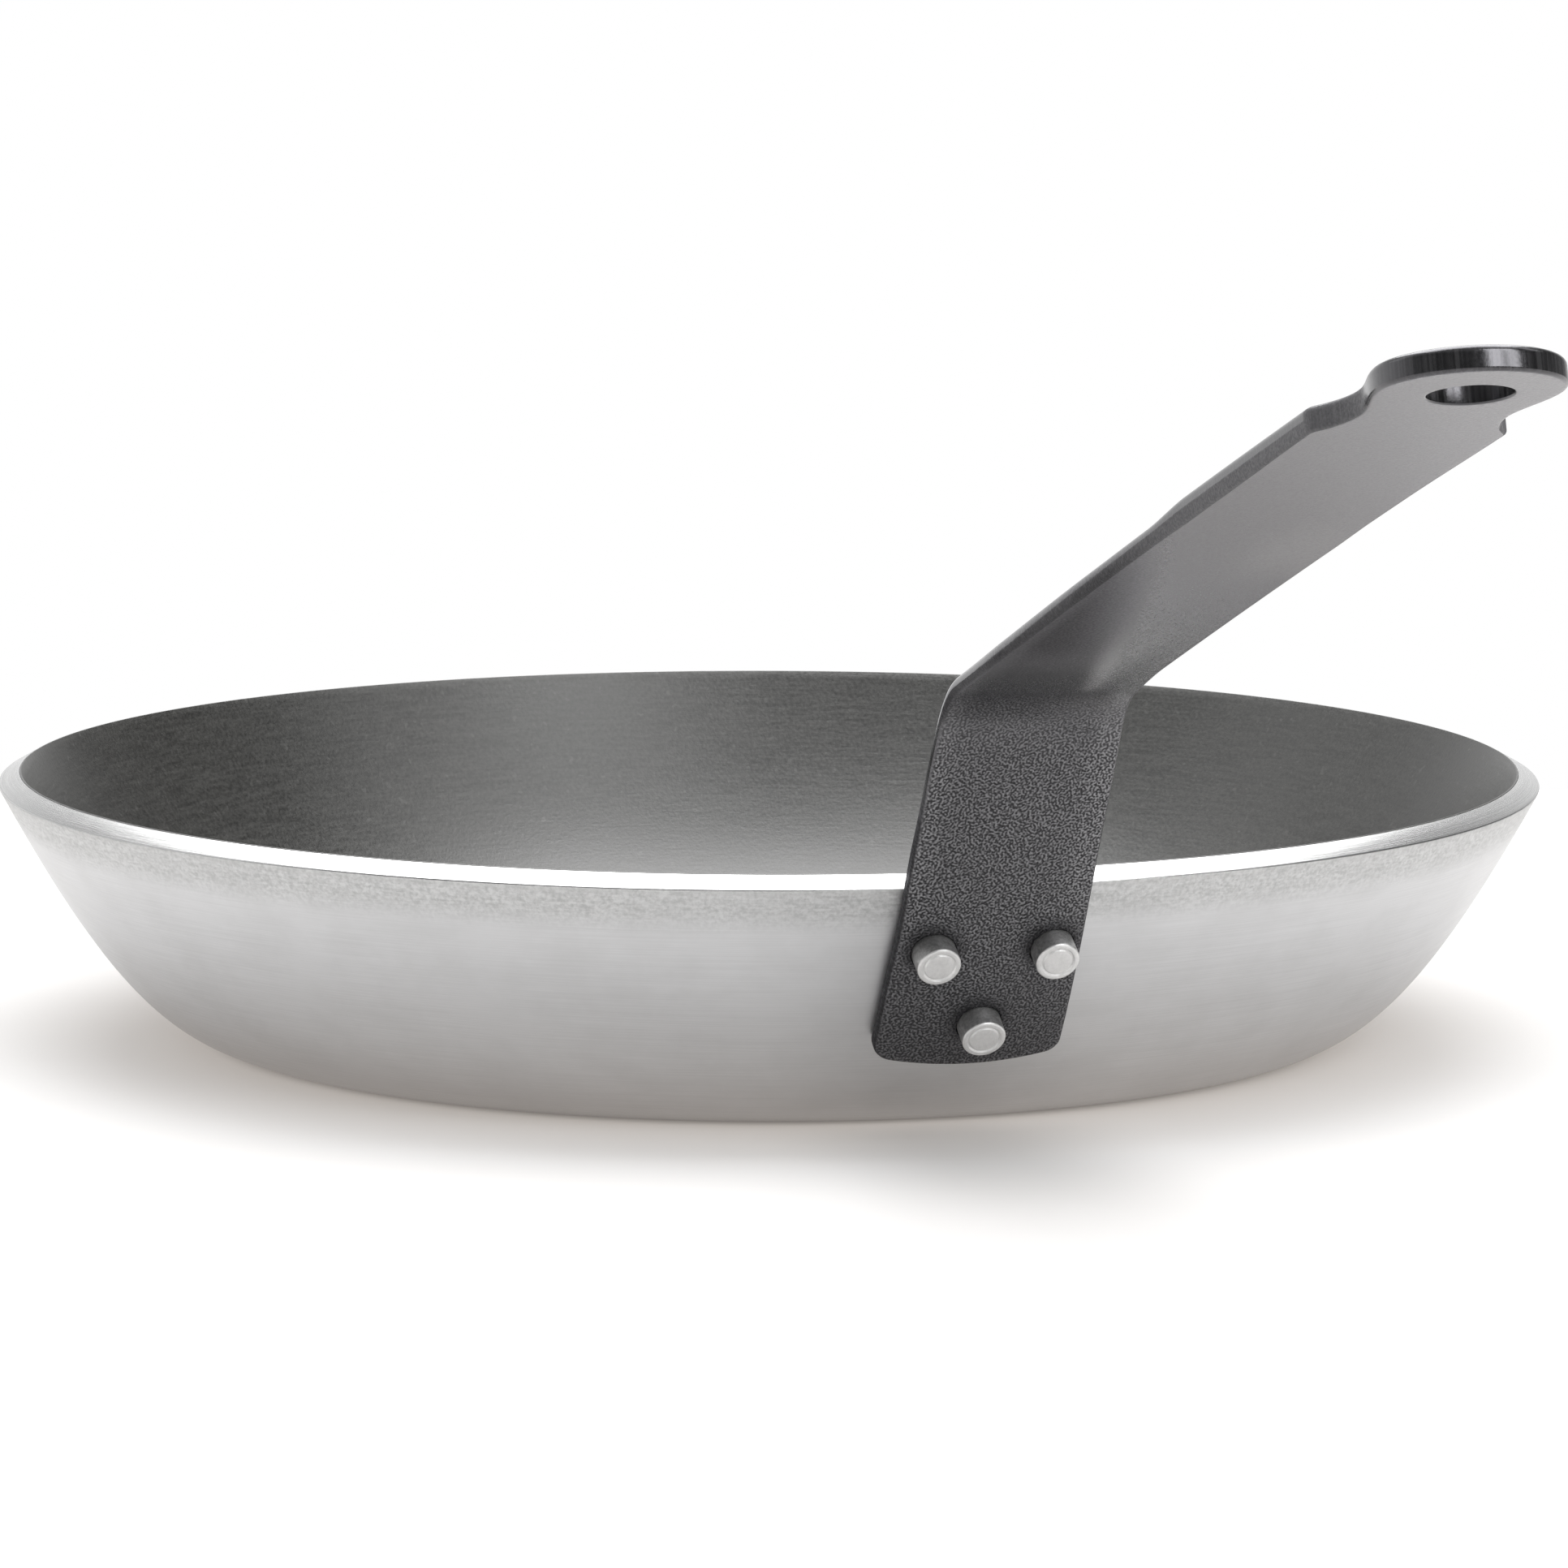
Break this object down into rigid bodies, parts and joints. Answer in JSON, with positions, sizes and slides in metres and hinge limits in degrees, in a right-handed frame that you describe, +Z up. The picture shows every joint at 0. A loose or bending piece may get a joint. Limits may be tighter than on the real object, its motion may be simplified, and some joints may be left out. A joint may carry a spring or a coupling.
{
  "type": "frying pan",
  "caption": "Flared round frying pan with a dark non-stick inside, square-cut rim and a bent steel strip handle riveted to the wall, ending in a hanging eye.",
  "frame": {"origin": "centre of the flat base, on the surface the pan stands on", "axes": "+Z up out of the pan, +X from the pan's centre along the handle, +Y to the right of someone holding the handle and facing the pan"},
  "size_m": [0.445, 0.24, 0.1343],
  "materials": {
    "pan_aluminium": "satin, fine circular brushing, bright turned rim",
    "nonstick": "matte with a fine speckle",
    "handle_epoxy": "textured dark epoxy powder coat",
    "rivet_aluminium": "satin"
  },
  "bodies": {
    "root": {"pan_body": "pan_aluminium", "nonstick_lining": "nonstick", "handle_strip": "handle_epoxy", "rivet_left": "rivet_aluminium", "rivet_right": "rivet_aluminium", "rivet_bottom": "rivet_aluminium"}
  },
  "joints": []
}
